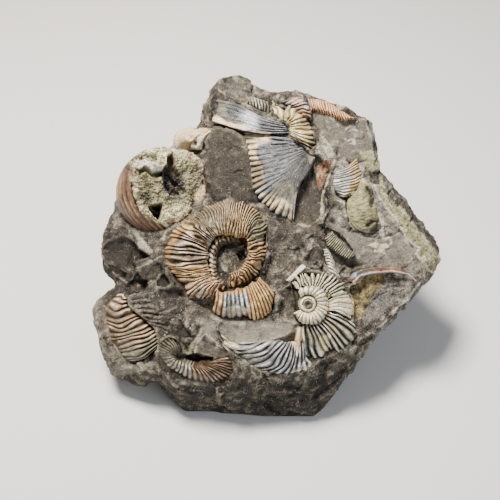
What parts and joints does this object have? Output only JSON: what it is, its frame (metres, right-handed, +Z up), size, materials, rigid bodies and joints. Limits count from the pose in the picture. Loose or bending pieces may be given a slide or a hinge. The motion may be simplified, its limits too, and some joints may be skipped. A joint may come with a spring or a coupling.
{
  "type": "ammonite fossil",
  "caption": "Cluster of ribbed ammonites with pearly and tan shell, crowded together in a broken nodule of dark mudstone that stands on a flat underside.",
  "frame": {"origin": "middle of the bounding box's base, on the flat underside of the rock", "axes": "+Z up from the flat underside, +X to the right of the fossil face seen from the front, +Y to the back; the fossils face -Y and up"},
  "size_m": [0.1084, 0.0872, 0.0701],
  "materials": {
    "mudstone": "dark grey-brown mudstone, rough broken faces with paler dust and bruised edges",
    "copper_shell": "iridescent copper-tan shell with steel-blue nacre where the outer layer is gone",
    "cream_shell": "cream-white shell with silver-grey nacre ribs",
    "steel_shell": "steel-blue pearly nacre with tan shell ribbons",
    "dark_shell": "dark rock mould of the ribs with pale crests",
    "rosy_shell": "pink-tan ribbed shell with dark grooves",
    "brown_shell": "brown-pink ribbed shell, dark where worn",
    "olive_shell": "grey-white ribs on greenish crystals",
    "peach_shell": "orange-peach fine ribs",
    "tan_shell": "smooth tan-cream shell",
    "nacre": "white nacre edge with pink and green lustre over an amber inside",
    "grey_shell": "grey-cream ribs with dark grooves",
    "pink_shell": "pink-tan shell wall with fine growth lines",
    "calcite": "olive-grey granular calcite crystals"
  },
  "bodies": {
    "root": {"matrix_rock": "mudstone", "central_ammonite": "copper_shell", "cream_ammonite": "cream_shell", "upper_ammonite": "steel_shell", "summit_ammonite": "dark_shell", "lower_left_ammonite": "rosy_shell", "bottom_ammonite": "brown_shell", "right_ammonite": "olive_shell", "top_ammonite": "peach_shell", "tan_whorl": "tan_shell", "shell_cup": "nacre", "small_ribbed_shell": "grey_shell", "fine_ribbed_shell": "grey_shell", "hollow_ammonite": "pink_shell", "crystal_filling": "calcite"}
  },
  "joints": []
}
